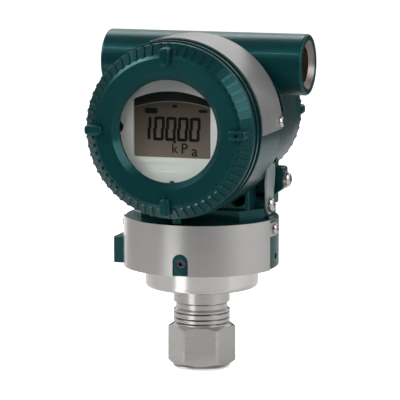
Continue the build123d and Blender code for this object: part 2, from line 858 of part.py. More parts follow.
# Pan head screw and washer of the earth terminal
with BuildPart() as ground_washer:
    extrude(disc(earth_washer_radius, earth_seat, pan_screw[0] + seat_gap), amount=earth_washer_thickness)
ground_washer.part.label = "ground_washer"
export_step(ground_washer.part, "parts/ground_washer.step")

with BuildPart() as ground_screw:
    pan_head_screw(earth_seat.offset(earth_washer_thickness), pan_screw, 7 + earth_washer_thickness)
ground_screw.part.label = "ground_screw"
export_step(ground_screw.part, "parts/ground_screw.step")

# Leaf over the zero adjuster: a thin plate on a round foot
with BuildPart() as adjuster_cover:
    leaf_shape = [
        (-leaf_foot_radius, 0),
        (-leaf_front_width, leaf_height * 0.57),
        (-leaf_front_width * 0.87, leaf_height * 0.79),
        (-leaf_front_width * 0.43, leaf_height),
        (leaf_rear_width * 0.94, leaf_height * 0.845),
        (leaf_rear_width, leaf_height * 0.665),
        (leaf_rear_width * 0.86, leaf_height * 0.385),
        (leaf_foot_radius, 0),
    ]
    leaf_plane = pivot_seat.offset(leaf_gap)
    with BuildSketch(leaf_plane):
        with BuildLine():
            Polyline(*leaf_shape, close=True)
        make_face()
        Circle(leaf_foot_radius)
        Circle(pan_screw[0] + running_gap, mode=Mode.SUBTRACT)
    extrude(amount=leaf_thickness)
    leaf_corners = adjuster_cover.edges().filter_by(Axis.X).filter_by(GeomType.LINE)
    leaf_corners = leaf_corners.filter_by(lambda e: e.center().Z > leaf_pivot_z + leaf_height * 0.8)
    fillet(leaf_corners, leaf_corner_round)
adjuster_cover.part.label = "adjuster_cover"
export_step(adjuster_cover.part, "parts/adjuster_cover.step")

with BuildPart() as leaf_pivot_screw:
    pan_head_screw(pivot_seat.offset(leaf_thickness + 2 * leaf_gap), pan_screw, 7)
leaf_pivot_screw.part.label = "leaf_pivot_screw"
export_step(leaf_pivot_screw.part, "parts/leaf_pivot_screw.step")

# Zero adjuster, a slotted spindle in the casting's flank, with its seal ring
with BuildPart() as zero_adjuster:
    adjuster_face = adjuster_seat.offset(-leaf_gap)
    extrude(disc(adjuster_radius, adjuster_face), amount=-adjuster_length)
    with BuildSketch(adjuster_face):
        Rectangle(3 * adjuster_radius, adjuster_slot_width)
    extrude(amount=-adjuster_slot_depth, mode=Mode.SUBTRACT)
    groove_plane = adjuster_face.offset(-adjuster_seal_depth)
    groove_radius = adjuster_radius + running_gap - 2 * adjuster_seal_wire - 2 * seat_gap
    extrude(disc(adjuster_radius + 1, groove_plane, groove_radius),
            amount=2.4 * adjuster_seal_wire, mode=Mode.SUBTRACT)
zero_adjuster.part.label = "zero_adjuster"
export_step(zero_adjuster.part, "parts/zero_adjuster.step")

with BuildPart() as adjuster_seal:
    adjuster_seal_radius = adjuster_radius + running_gap - adjuster_seal_wire - seat_gap
    seal_middle = groove_plane.offset(1.2 * adjuster_seal_wire)
    seal_ring(adjuster_seal_radius, adjuster_seal_wire, seal_middle.origin, (1, 0, 0))
adjuster_seal.part.label = "adjuster_seal"
export_step(adjuster_seal.part, "parts/adjuster_seal.step")

# Sheet band round the drum's front, with a notch over the lock screw and two tongues
band_radius = drum_radius + sheet_thickness
with BuildPart() as skirt_band:
    low = [
        (drum_radius, drum_bottom),
        (band_radius, drum_bottom),
        (band_radius, drum_top),
        (drum_radius, drum_top),
    ]
    revolve(outline(low, drum_section(-band_left_angle)), axis=Axis.Z,
            revolution_arc=band_left_angle + band_end_angle)
    tongue_top = 2 * band_screw_z - band_tongue_bottom
    tongue = [
        (drum_radius, band_tongue_bottom),
        (band_radius, band_tongue_bottom),
        (band_radius, tongue_top),
        (drum_radius, tongue_top),
    ]
    revolve(outline(tongue, drum_section(-band_tongue_angle)), axis=Axis.Z,
            revolution_arc=2 * band_tongue_angle)
    with BuildSketch(on_drum(lock_screw_angle, drum_radius - 2, drum_bottom)):
        notch_rise = band_notch_top - band_notch_half_width - drum_bottom
        with Locations((0, notch_rise / 2 - 1)):
            Rectangle(2 * band_notch_half_width, notch_rise + 2)
        with Locations((0, notch_rise)):
            Circle(band_notch_half_width)
    extrude(amount=5, mode=Mode.SUBTRACT)
    for side in (-1, 1):
        bore(on_drum(side * band_screw_angle, band_radius + 1, band_screw_z), small_screw[0] + seat_gap, 4)
skirt_band.part.label = "skirt_band"
export_step(skirt_band.part, "parts/skirt_band.step")

with BuildPart() as skirt_band_screws:
    for side in (-1, 1):
        pan_head_screw(on_drum(side * band_screw_angle, band_radius, band_screw_z), small_screw, 6)
skirt_band_screws.part.label = "skirt_band_screws"
export_step(skirt_band_screws.part, "parts/skirt_band_screws.step")

# Set screws through the drum, whose tips reach into the sensor body's groove
with BuildPart() as housing_lock_screws:
    tip_radius = sensor_radius - lock_groove_depth + running_gap
    front_face = drum_radius - lock_screw_recess
    socket_screw(on_drum(lock_screw_angle, front_face, lock_screw_z), lock_screw_radius,
                 front_face - tip_radius)
    side_face = drum_radius - side_lock_recess
    socket_screw(on_drum(side_lock_angle, side_face, lock_screw_z), side_lock_radius,
                 side_face - tip_radius)
housing_lock_screws.part.label = "housing_lock_screws"
export_step(housing_lock_screws.part, "parts/housing_lock_screws.step")

# Set screws in the posts, which lock the two covers
with BuildPart() as cover_lock_screws:
    for post_bottom, post_y, thread_radius in (
        (front_post_bottom, front_post_y, front_thread_radius),
        (rear_post_bottom, rear_post_y, rear_thread_radius),
    ):
        screw_face = facing_down(post_bottom + post_screw_recess, 0, post_y)
        screw_tip = barrel_z - thread_radius - 0.1
        socket_screw(screw_face, post_screw_radius, screw_tip - post_bottom - post_screw_recess)
cover_lock_screws.part.label = "cover_lock_screws"
export_step(cover_lock_screws.part, "parts/cover_lock_screws.step")

# Name band: a sheet strip over the barrel's right side and top
name_band_radius = barrel_radius + sheet_thickness
with BuildPart() as name_band:
    strip = [
        (barrel_front, barrel_radius),
        (barrel_front, name_band_radius),
        (barrel_taper_start, name_band_radius),
        (barrel_taper_start, barrel_radius),
    ]
    low_side = on_barrel(name_band_low_angle, 0, 0).z_dir
    strip_plane = Plane(origin=(0, 0, barrel_z), x_dir=(0, 1, 0), z_dir=Vector(0, 1, 0).cross(low_side))
    revolve(outline(strip, strip_plane), axis=Axis((0, 0, barrel_z), (0, -1, 0)),
            revolution_arc=name_band_high_angle - name_band_low_angle)
    strip_corners = name_band.edges().filter_by(lambda e: abs(e.length - sheet_thickness) < 0.01)
    fillet(strip_corners, name_band_corner)
    bore(on_barrel(name_screw_angle, name_band_radius + 1, name_screw_y), small_screw[0] + seat_gap, 4)
name_band.part.label = "name_band"
export_step(name_band.part, "parts/name_band.step")

with BuildPart() as name_band_screw:
    pan_head_screw(on_barrel(name_screw_angle, name_band_radius, name_screw_y), small_screw, 4.5)
name_band_screw.part.label = "name_band_screw"
export_step(name_band_screw.part, "parts/name_band_screw.step")

# Front cover: flange, body, ribbed shoulder, dished ring and the window's seat in one turning
front_ribs = shoulder_ribs((rib_foot_y, rib_foot_radius), (shoulder_start, cover_body_radius), rib_count)
seal_groove_width = 2.6 * cover_seal_wire
seal_groove_radius = front_thread_radius - 2 * cover_seal_wire - 2 * seat_gap
front_groove_y = cover_flange_rear + 0.8 + seal_groove_width / 2
glass_bore = glass_radius + seat_gap
glass_front = glass_seat_y + gasket_thickness
retainer_front = glass_front + glass_thickness
skirt_inner = skirt_radius - skirt_wall
with BuildPart() as front_cover:
    cover_section = [
        (glass_seat_y, window_radius),
        (window_edge_y, window_radius),
        (dish_inner_y, dish_inner_radius),
        (ring_front, ring_edge_radius),
        (rib_foot_y, rib_foot_radius),
        (shoulder_start, cover_body_radius),
        (cover_flange_front - cover_groove_width, cover_body_radius),
        (cover_flange_front - cover_groove_width, cover_body_radius - cover_groove_depth),
        (cover_flange_front, cover_body_radius - cover_groove_depth),
        (cover_flange_front, cover_flange_radius),
        (cover_flange_rear, cover_flange_radius),
        (cover_flange_rear, skirt_radius),
        (front_groove_y - seal_groove_width / 2, skirt_radius),
        (front_groove_y - seal_groove_width / 2, seal_groove_radius),
        (front_groove_y + seal_groove_width / 2, seal_groove_radius),
        (front_groove_y + seal_groove_width / 2, skirt_radius),
        (skirt_end, skirt_radius),
        (skirt_end, skirt_inner),
        (retainer_front + retainer_depth + skirt_inner - glass_bore, skirt_inner),
        (retainer_front + retainer_depth, glass_bore),
        (glass_seat_y, glass_bore),
    ]
    turn(cover_section)
    fillet(ring_edges(front_cover, cover_body_radius).sort_by(Axis.Y)[0], shoulder_round)
    add(front_ribs)
    cover_lugs(facing_front(lug_root_y), lug_inner_radius, lug_outer_radius, lug_width,
               lug_root_y - lug_front)
    lug_faces = front_cover.faces().filter_by(Axis.Y).sort_by(Axis.Y)[:lug_count]
    fillet(lug_faces.edges(), lug_edge_round)
    bore(facing_front(lug_front, barrel_z, (lug_inner_radius + lug_outer_radius) / 2), lug_dimple_radius,
         lug_dimple_depth)
front_cover.part.label = "front_cover"
export_step(front_cover.part, "parts/front_cover.step")

# Window: gasket, glass and the threaded ring that holds them in the cover
with BuildPart() as window_gasket:
    extrude(disc(glass_radius, facing_front(glass_seat_y), window_radius + 0.5), amount=-gasket_thickness)
window_gasket.part.label = "window_gasket"
export_step(window_gasket.part, "parts/window_gasket.step")

with BuildPart() as window_glass:
    extrude(disc(glass_radius, facing_front(glass_front)), amount=-glass_thickness)
    chamfer(window_glass.edges(), 0.3)
window_glass.part.label = "window_glass"
export_step(window_glass.part, "parts/window_glass.step")

with BuildPart() as window_retainer:
    extrude(disc(glass_radius, facing_front(retainer_front), retainer_bore_radius), amount=-retainer_depth)
    with BuildSketch(facing_front(retainer_front + retainer_depth)):
        Rectangle(3 * glass_radius, 3)
    extrude(amount=1.2, mode=Mode.SUBTRACT)
window_retainer.part.label = "window_retainer"
export_step(window_retainer.part, "parts/window_retainer.step")

# Seal ring behind the front cover's flange
with BuildPart() as front_cover_seal:
    seal_ring(front_thread_radius - cover_seal_wire - seat_gap, cover_seal_wire,
              (0, front_groove_y, barrel_z), (0, 1, 0))
front_cover_seal.part.label = "front_cover_seal"
export_step(front_cover_seal.part, "parts/front_cover_seal.step")

# Rear cover: closed, with a shallow dish in its face
rear_ribs = shoulder_ribs((rear_rib_foot_y, rear_rib_foot_radius), (rear_shoulder_start, rear_cover_radius),
                          rear_rib_count)
rear_groove_y = rear_flange_front - 0.8 - seal_groove_width / 2
rear_groove_radius = rear_thread_radius - 2 * cover_seal_wire - 2 * seat_gap
rear_skirt_inner = rear_skirt_radius - rear_skirt_wall
rear_floor_y = rear_ring_y - rear_dish_depth - rear_floor_thickness
with BuildPart() as rear_cover:
    rear_section = [
        (rear_floor_y, 0),
        (rear_floor_y, rear_skirt_inner),
        (rear_skirt_end, rear_skirt_inner),
        (rear_skirt_end, rear_skirt_radius),
        (rear_groove_y - seal_groove_width / 2, rear_skirt_radius),
        (rear_groove_y - seal_groove_width / 2, rear_groove_radius),
        (rear_groove_y + seal_groove_width / 2, rear_groove_radius),
        (rear_groove_y + seal_groove_width / 2, rear_skirt_radius),
        (rear_flange_front, rear_skirt_radius),
        (rear_flange_front, rear_cover_radius),
        (rear_shoulder_start, rear_cover_radius),
        (rear_rib_foot_y, rear_rib_foot_radius),
        (rear_ring_y, rear_ring_radius),
        (rear_ring_y, rear_dish_radius),
        (rear_ring_y - rear_dish_depth, rear_dish_radius - rear_dish_depth),
        (rear_ring_y - rear_dish_depth, 0),
    ]
    turn(rear_section)
    fillet(ring_edges(rear_cover, rear_cover_radius).sort_by(Axis.Y)[-1], shoulder_round)
    add(rear_ribs)
    cover_lugs(facing_rear(rear_lug_root_y), rear_lug_inner_radius, rear_lug_outer_radius, rear_lug_width,
               rear_lug_back - rear_lug_root_y)
    rear_lug_faces = rear_cover.faces().filter_by(Axis.Y).sort_by(Axis.Y)[-lug_count:]
    fillet(rear_lug_faces.edges(), lug_edge_round)
rear_cover.part.label = "rear_cover"
export_step(rear_cover.part, "parts/rear_cover.step")

with BuildPart() as rear_cover_seal:
    seal_ring(rear_thread_radius - cover_seal_wire - seat_gap, cover_seal_wire,
              (0, rear_groove_y, barrel_z), (0, 1, 0))
rear_cover_seal.part.label = "rear_cover_seal"
export_step(rear_cover_seal.part, "parts/rear_cover_seal.step")

# Bezel plate round the screen, with notches for the two screws and a plain sunk field
display_screw_height = barrel_z + display_screw_z
display_sides = [(side * display_screw_x, display_screw_z) for side in (-1, 1)]
with BuildPart() as bezel_plate:
    bezel_plane = facing_front(bezel_face_y)
    extrude(disc(bezel_radius, bezel_plane), amount=-bezel_thickness)
    extrude(screen_shape(bezel_plane), amount=-bezel_thickness, mode=Mode.SUBTRACT)
    with BuildSketch(bezel_plane):
        with Locations(*display_sides):
            Circle(bezel_notch_radius)
        for angle in bezel_key_angles:
            with PolarLocations(bezel_key_circle, 1, start_angle=angle):
                Circle(bezel_key_radius)
    extrude(amount=-bezel_thickness, mode=Mode.SUBTRACT)
    with BuildSketch(bezel_plane):
        with Locations((0, (field_top + field_bottom) / 2)):
            Rectangle(2 * field_half_width, field_top - field_bottom)
    extrude(amount=-field_depth, mode=Mode.SUBTRACT)
bezel_plate.part.label = "bezel_plate"
export_step(bezel_plate.part, "parts/bezel_plate.step")

# Liquid crystal panel behind the bezel plate
panel_plane = facing_front(bezel_face_y + bezel_thickness)
with BuildPart() as lcd_panel:
    extrude(screen_shape(panel_plane, screen_border), amount=-panel_thickness)
lcd_panel.part.label = "lcd_panel"
export_step(lcd_panel.part, "parts/lcd_panel.step")

# Carrier of the display, with the panel's pocket and a flange for the two screws
flange_plane = facing_front(carrier_flange_front)
flange_rear = carrier_flange_front + carrier_flange_thickness
with BuildPart() as display_carrier:
    extrude(disc(carrier_radius, panel_plane), amount=bezel_face_y + bezel_thickness - carrier_flange_front)
    with BuildSketch(panel_plane):
        with Locations(*display_sides):
            Circle(bezel_notch_radius)
    extrude(amount=bezel_face_y + bezel_thickness - carrier_flange_front, mode=Mode.SUBTRACT)
    extrude(screen_shape(panel_plane, screen_border + panel_clearance), amount=-panel_thickness,
            mode=Mode.SUBTRACT)
    extrude(disc(carrier_flange_radius, flange_plane), amount=-carrier_flange_thickness)
    with BuildSketch(panel_plane):
        with Locations((0, carrier_slot_z)):
            Rectangle(carrier_slot_width, carrier_slot_height)
    extrude(amount=bezel_face_y + bezel_thickness - flange_rear, mode=Mode.SUBTRACT)
    for side in (-1, 1):
        bore(facing_front(carrier_flange_front, display_screw_height, side * display_screw_x),
             small_screw[0] + seat_gap, carrier_flange_thickness)
display_carrier.part.label = "display_carrier"
export_step(display_carrier.part, "parts/display_carrier.step")

with BuildPart() as display_board:
    extrude(disc(display_board_radius, facing_front(flange_rear)), amount=-board_thickness)
display_board.part.label = "display_board"
export_step(display_board.part, "parts/display_board.step")

with BuildPart() as display_screws:
    for side in (-1, 1):
        pan_head_screw(facing_front(carrier_flange_front, display_screw_height, side * display_screw_x),
                       small_screw, carrier_flange_thickness + 5)
display_screws.part.label = "display_screws"
export_step(display_screws.part, "parts/display_screws.step")

# Amplifier case, a cup with two long bosses and two posts for the display
case_room_radius = amplifier_radius - amplifier_wall
with BuildPart() as amplifier_case:
    case_section = [
        (amplifier_front, 0),
        (amplifier_front, amplifier_radius),
        (amplifier_rear, amplifier_radius),
        (amplifier_rear, case_room_radius),
        (amplifier_board_front, case_room_radius),
        (amplifier_board_front, case_room_radius - amplifier_ledge),
        (amplifier_front + amplifier_wall, case_room_radius - amplifier_ledge),
        (amplifier_front + amplifier_wall, 0),
    ]
    turn(case_section)
    with BuildSketch(facing_front(amplifier_front)):
        with PolarLocations(amplifier_screw_circle, 2, start_angle=90):
            Circle(amplifier_post_radius)
    extrude(amount=amplifier_front - amplifier_rear)
    with BuildSketch(facing_front(amplifier_front)):
        with Locations(*display_sides):
            Circle(display_post_radius)
    extrude(amount=amplifier_front - flange_rear)
    for side in (-1, 1):
        bore(facing_front(amplifier_front, barrel_z + side * amplifier_screw_circle),
             small_screw[0] + seat_gap, amplifier_rear - amplifier_front)
        bore(facing_front(flange_rear, display_screw_height, side * display_screw_x),
             small_screw[0] + seat_gap, 6)
amplifier_case.part.label = "amplifier_case"
export_step(amplifier_case.part, "parts/amplifier_case.step")

with BuildPart() as amplifier_board:
    extrude(disc(case_room_radius - seat_gap, facing_front(amplifier_board_front)), amount=-board_thickness)
    with BuildSketch(facing_front(amplifier_board_front)):
        with PolarLocations(amplifier_screw_circle, 2, start_angle=90):
            Circle(amplifier_post_radius + seat_gap)
    extrude(amount=-board_thickness, mode=Mode.SUBTRACT)
amplifier_board.part.label = "amplifier_board"
export_step(amplifier_board.part, "parts/amplifier_board.step")

with BuildPart() as amplifier_screws:
    for side in (-1, 1):
        pan_head_screw(facing_front(amplifier_front, barrel_z + side * amplifier_screw_circle), small_screw,
                       amplifier_rear - amplifier_front + amplifier_reach)
amplifier_screws.part.label = "amplifier_screws"
export_step(amplifier_screws.part, "parts/amplifier_screws.step")

# Lead from the sensor header up to the amplifier case, with a plug at each end
with BuildPart() as sensor_lead:
    lead_bottom = header_bottom + header_height + header_pin_length + running_gap
    lead_top = barrel_z - amplifier_radius
    lead_section = [
        (0, lead_bottom),
        (lead_plug_radius, lead_bottom),
        (lead_plug_radius, lead_bottom + lead_plug_length),
        (lead_radius, lead_bottom + lead_plug_length),
        (lead_radius, lead_top - lead_plug_length),
        (lead_plug_radius, lead_top - lead_plug_length),
        (lead_plug_radius, lead_top),
        (0, lead_top),
    ]
    turn(lead_section, Plane.XZ, Axis.Z)
sensor_lead.part.label = "sensor_lead"
export_step(sensor_lead.part, "parts/sensor_lead.step")

# Sealed bush that carries the wires through the wall between the rooms
with BuildPart() as feedthrough:
    bush_z_height = barrel_z + bush_z
    extrude(disc(bush_flange_radius, facing_front(wall_front, bush_z_height)), amount=bush_flange_thickness)
    extrude(disc(bush_radius, facing_rear(wall_front, bush_z_height)), amount=wall_rear - wall_front + 2)
    with BuildSketch(facing_rear(wall_front - bush_flange_thickness - 3, bush_z_height)):
        with PolarLocations(bush_radius / 2, 3, start_angle=90):
            Circle(0.6)
    extrude(amount=wall_rear - wall_front + bush_flange_thickness + 6.5)
feedthrough.part.label = "feedthrough"
export_step(feedthrough.part, "parts/feedthrough.step")

# Terminal block with open bays, each with a clamp washer and a screw
block_rear = wall_rear + block_depth
terminal_floor = block_rear - terminal_depth
terminal_xs = [terminal_pitch * (i - (terminal_count - 1) / 2) for i in range(terminal_count)]
with BuildPart() as terminal_block:
    block((-block_half_width, wall_rear, barrel_z + block_bottom),
          (block_half_width, block_rear, barrel_z + block_top))
    chamfer(terminal_block.faces().sort_by(Axis.Y)[-1].edges(), block_edge_chamfer)
    bay_top = terminal_z + clamp_radius + seat_gap
    with BuildSketch(facing_rear(block_rear)):
        with Locations(*[(x, (bay_top + block_bottom - 1) / 2) for x in terminal_xs]):
            Rectangle(2 * clamp_radius + 2 * seat_gap, bay_top - block_bottom + 1)
    extrude(amount=-terminal_depth, mode=Mode.SUBTRACT)
    for x in terminal_xs:
        bore(facing_rear(terminal_floor, barrel_z + terminal_z, x), small_screw[0] + seat_gap, 5)
    for side in (-1, 1):
        bore(facing_rear(block_rear, barrel_z + block_screw_z, side * block_screw_x),
             small_screw[0] + seat_gap, block_depth)
    bore(facing_front(wall_rear, barrel_z + bush_z), block_recess_radius, block_recess_depth)
terminal_block.part.label = "terminal_block"
export_step(terminal_block.part, "parts/terminal_block.step")

with BuildPart() as terminal_clamps:
    for x in terminal_xs:
        extrude(disc(clamp_radius, facing_rear(terminal_floor, barrel_z + terminal_z, x),
                     small_screw[0] + seat_gap), amount=clamp_thickness)
terminal_clamps.part.label = "terminal_clamps"
export_step(terminal_clamps.part, "parts/terminal_clamps.step")

with BuildPart() as terminal_screws:
    for x in terminal_xs:
        pan_head_screw(facing_rear(terminal_floor + clamp_thickness, barrel_z + terminal_z, x), small_screw,
                       clamp_thickness + 4.5)
terminal_screws.part.label = "terminal_screws"
export_step(terminal_screws.part, "parts/terminal_screws.step")

with BuildPart() as block_screws:
    for side in (-1, 1):
        pan_head_screw(facing_rear(block_rear, barrel_z + block_screw_z, side * block_screw_x), small_screw,
                       block_depth + 2.8)
block_screws.part.label = "block_screws"
export_step(block_screws.part, "parts/block_screws.step")

with BuildPart() as inner_earth_screw:
    pan_head_screw(room_screw_seat, pan_screw, 2.8)
inner_earth_screw.part.label = "inner_earth_screw"
export_step(inner_earth_screw.part, "parts/inner_earth_screw.step")
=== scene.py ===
# %% [markdown]
# # A pressure transmitter
#
# The solids of this instrument come in as a finished frame, in metres, with the centre of the
# process port at the origin, Z up and the display looking along -Y. This notebook gives every
# solid its real finish, models the small things that the frame leaves plain, and then lights the
# whole and sets up a camera for it.

# %% Load the frame
import bpy
import bmesh
import json
from math import cos, pi, radians, sin
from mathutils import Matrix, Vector


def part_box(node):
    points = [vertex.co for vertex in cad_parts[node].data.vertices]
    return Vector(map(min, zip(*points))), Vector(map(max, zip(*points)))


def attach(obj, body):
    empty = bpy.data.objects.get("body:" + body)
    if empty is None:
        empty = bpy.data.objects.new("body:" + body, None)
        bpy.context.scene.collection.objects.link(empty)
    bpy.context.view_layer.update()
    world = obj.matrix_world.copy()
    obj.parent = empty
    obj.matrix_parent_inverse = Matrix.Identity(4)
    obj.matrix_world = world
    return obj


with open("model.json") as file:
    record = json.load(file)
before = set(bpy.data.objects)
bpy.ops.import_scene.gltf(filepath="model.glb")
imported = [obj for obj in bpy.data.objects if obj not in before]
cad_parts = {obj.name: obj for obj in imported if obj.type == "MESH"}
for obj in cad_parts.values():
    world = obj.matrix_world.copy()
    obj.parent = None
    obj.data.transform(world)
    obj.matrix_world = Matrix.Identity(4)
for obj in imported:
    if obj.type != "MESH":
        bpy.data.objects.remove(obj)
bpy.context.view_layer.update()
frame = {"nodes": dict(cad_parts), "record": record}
nodes = frame["nodes"]
print("solids loaded:", len(nodes))

# %% [markdown]
# ## Colour handling
#
# The Standard view transform shows a colour as it is written. That suits a product photograph on
# white, where a filmic curve would grey the background.

# %% View transform
scene = bpy.context.scene
scene.view_settings.view_transform = "Standard"

# %% [markdown]
# ## Two effects that many finishes share
#
# Paint, plastic and cast metal are never quite even, and turned or brushed metal has fine lines.
# Both are a noise that is read at a certain scale along each axis. Built as a node group, it can
# be placed in every material with values of its own. Stretching the noise along two axes and
# packing it along the third gives the lines that a lathe or a brushing belt leaves.


# %% Node group: a noise with a bump
EVEN_GRAIN = (400, 400, 400)
NOISE_LOW = 0.3  # nearly all of the noise lies between these two
NOISE_HIGH = 0.7


def build_surface_group():
    group = bpy.data.node_groups.new("Surface Unevenness", "ShaderNodeTree")
    face = group.interface
    spread = face.new_socket("Spread", in_out="INPUT", socket_type="NodeSocketVector")
    spread.default_value = EVEN_GRAIN
    for name, value in (("Detail", 3), ("Smoothest", 0.3), ("Roughest", 0.4), ("Height", 0.00002)):
        socket = face.new_socket(name, in_out="INPUT", socket_type="NodeSocketFloat")
        socket.default_value = value
    face.new_socket("Pattern", in_out="OUTPUT", socket_type="NodeSocketFloat")
    face.new_socket("Roughness", in_out="OUTPUT", socket_type="NodeSocketFloat")
    face.new_socket("Normal", in_out="OUTPUT", socket_type="NodeSocketVector")
    given = group.nodes.new("NodeGroupInput")
    place = group.nodes.new("ShaderNodeTexCoord")
    stretch = group.nodes.new("ShaderNodeMapping")
    noise = group.nodes.new("ShaderNodeTexNoise")
    limits = group.nodes.new("ShaderNodeMapRange")
    bump = group.nodes.new("ShaderNodeBump")
    result = group.nodes.new("NodeGroupOutput")
    noise.inputs["Scale"].default_value = 1
    link = group.links.new
    link(place.outputs["Object"], stretch.inputs["Vector"])
    link(given.outputs["Spread"], stretch.inputs["Scale"])
    link(stretch.outputs["Vector"], noise.inputs["Vector"])
    link(given.outputs["Detail"], noise.inputs["Detail"])
    link(noise.outputs["Fac"], limits.inputs["Value"])
    limits.inputs["From Min"].default_value = NOISE_LOW
    limits.inputs["From Max"].default_value = NOISE_HIGH
    link(given.outputs["Smoothest"], limits.inputs["To Min"])
    link(given.outputs["Roughest"], limits.inputs["To Max"])
    link(noise.outputs["Fac"], bump.inputs["Height"])
    link(given.outputs["Height"], bump.inputs["Distance"])
    link(noise.outputs["Fac"], result.inputs["Pattern"])
    link(limits.outputs["Result"], result.inputs["Roughness"])
    link(bump.outputs["Normal"], result.inputs["Normal"])
    return group


surface_group = build_surface_group()
print("node group:", surface_group.name)

# %% [markdown]
# The face plate and the screen are both painted paler towards their lower edge: a painted reflection
# of the white table, which shines into the window. A second group fades one colour into another
# between two heights.


# %% Node group: a fade between two heights
def build_fade_group():
    group = bpy.data.node_groups.new("Painted Light Fade", "ShaderNodeTree")
    face = group.interface
    for name in ("Lowest", "Highest"):
        face.new_socket(name, in_out="INPUT", socket_type="NodeSocketFloat")
    for name in ("Bottom", "Top"):
        face.new_socket(name, in_out="INPUT", socket_type="NodeSocketColor")
    face.new_socket("Color", in_out="OUTPUT", socket_type="NodeSocketColor")
    given = group.nodes.new("NodeGroupInput")
    place = group.nodes.new("ShaderNodeTexCoord")
    split = group.nodes.new("ShaderNodeSeparateXYZ")
    height = group.nodes.new("ShaderNodeMapRange")
    mix = group.nodes.new("ShaderNodeMix")
    mix.data_type = "RGBA"
    result = group.nodes.new("NodeGroupOutput")
    link = group.links.new
    link(place.outputs["Object"], split.inputs["Vector"])
    link(split.outputs["Z"], height.inputs["Value"])
    link(given.outputs["Lowest"], height.inputs["From Min"])
    link(given.outputs["Highest"], height.inputs["From Max"])
    link(height.outputs["Result"], mix.inputs["Factor"])
    link(given.outputs["Bottom"], mix.inputs["A"])
    link(given.outputs["Top"], mix.inputs["B"])
    link(mix.outputs["Result"], result.inputs["Color"])
    return group


fade_group = build_fade_group()


# %% Helper: paint a fade of light over one solid
def painted_light_fade(tree, node, bottom, top):
    low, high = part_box(node)
    fade = tree.nodes.new("ShaderNodeGroup")
    fade.node_tree = fade_group
    fade.inputs["Lowest"].default_value = low.z
    fade.inputs["Highest"].default_value = high.z
    fade.inputs["Bottom"].default_value = (*bottom, 1)
    fade.inputs["Top"].default_value = (*top, 1)
    return fade.outputs["Color"]


# %% [markdown]
# A finish is then a Principled shader whose colour drifts a little between two tones, and whose
# roughness and bump come from the first group. The two tones keep a large face from looking like
# flat digital colour, even where the object is clean and new.


# %% Helper: one finish
def finish(name, tone, other_tone, metallic=0.0, spread=EVEN_GRAIN, rough=(0.3, 0.4), height=0.00002,
           **sockets):
    material = bpy.data.materials.new(name)
    material.use_nodes = True
    tree = material.node_tree
    shader = tree.nodes["Principled BSDF"]
    shader.inputs["Metallic"].default_value = metallic
    for socket, value in sockets.items():
        shader.inputs[socket.replace("_", " ")].default_value = value
    uneven = tree.nodes.new("ShaderNodeGroup")
    uneven.node_tree = surface_group
    uneven.inputs["Spread"].default_value = spread
    uneven.inputs["Smoothest"].default_value = rough[0]
    uneven.inputs["Roughest"].default_value = rough[1]
    uneven.inputs["Height"].default_value = height
    drift = tree.nodes.new("ShaderNodeMix")
    drift.data_type = "RGBA"
    drift.inputs["A"].default_value = (*tone, 1)
    drift.inputs["B"].default_value = (*other_tone, 1)
    tree.links.new(uneven.outputs["Pattern"], drift.inputs["Factor"])
    tree.links.new(drift.outputs["Result"], shader.inputs["Base Color"])
    tree.links.new(uneven.outputs["Roughness"], shader.inputs["Roughness"])
    tree.links.new(uneven.outputs["Normal"], shader.inputs["Normal"])
    return material


# %% [markdown]
# ## Paint on the castings
#
# The housing and its covers are aluminium castings with a baked coat of deep teal. The coat is
# glossy but not a mirror: it flows over the cast skin, which shows through as a fine orange peel.
# A thin clear coat over a rougher base gives that double highlight. The base reflects in teal too,
# so that the white surroundings don't bleach the paint.

# %% Teal paint
housing_paint = finish("housing_paint", (0.002, 0.018, 0.019), (0.003, 0.026, 0.028),
                       spread=(700, 700, 700), rough=(0.28, 0.38), height=0.000010,
                       Specular_IOR_Level=0.40, Specular_Tint=(0.12, 0.78, 0.80, 1),
                       Coat_Weight=0.10, Coat_Roughness=0.08)

# %% [markdown]
# ## Bare metal
#
# The connector and the sensor body are turned stainless steel, so their lines run round the
# vertical axis. The bands are sheet that is brushed the way each band runs, and the leaf is a grey
# sheet. The threads in the conduit ports are darker and rougher. Screws are small, with no grain
# that can be seen.

# %% Turned, brushed and plain steels
RINGS_ROUND_Z = (6, 6, 3000)
RINGS_ROUND_Y = (6, 3000, 6)
NO_GRAIN = (1500, 1500, 1500)
stainless = finish("stainless", (0.50, 0.49, 0.47), (0.60, 0.585, 0.56), metallic=1.0,
                   spread=RINGS_ROUND_Z, rough=(0.20, 0.32), height=0.000003)
bright_stainless = finish("bright_stainless", (0.64, 0.62, 0.59), (0.72, 0.70, 0.67), metallic=1.0,
                          spread=RINGS_ROUND_Z, rough=(0.16, 0.26), height=0.000002)
skirt_sheet = finish("skirt_sheet", (0.47, 0.46, 0.45), (0.54, 0.53, 0.51), metallic=1.0,
                     spread=RINGS_ROUND_Z, rough=(0.28, 0.38), height=0.000002)
name_sheet = finish("name_sheet", (0.26, 0.26, 0.26), (0.38, 0.37, 0.365), metallic=0.6,
                    spread=RINGS_ROUND_Y, rough=(0.26, 0.38), height=0.000004)
leaf_sheet = finish("leaf_sheet", (0.22, 0.26, 0.265), (0.30, 0.34, 0.345), metallic=0.4,
                    spread=NO_GRAIN, rough=(0.3, 0.42), height=0.000004)
thread_metal = finish("thread_metal", (0.10, 0.085, 0.08), (0.34, 0.29, 0.27), metallic=1.0,
                      spread=(1100, 20, 20), rough=(0.34, 0.48), height=0.00005)
screw_steel = finish("screw_steel", (0.50, 0.49, 0.47), (0.60, 0.59, 0.56), metallic=1.0,
                     spread=NO_GRAIN, rough=(0.2, 0.32), height=0.000004)
set_screw_steel = finish("set_screw_steel", (0.09, 0.09, 0.095), (0.14, 0.14, 0.15), metallic=1.0,
                         spread=NO_GRAIN, rough=(0.35, 0.5), height=0.000004)
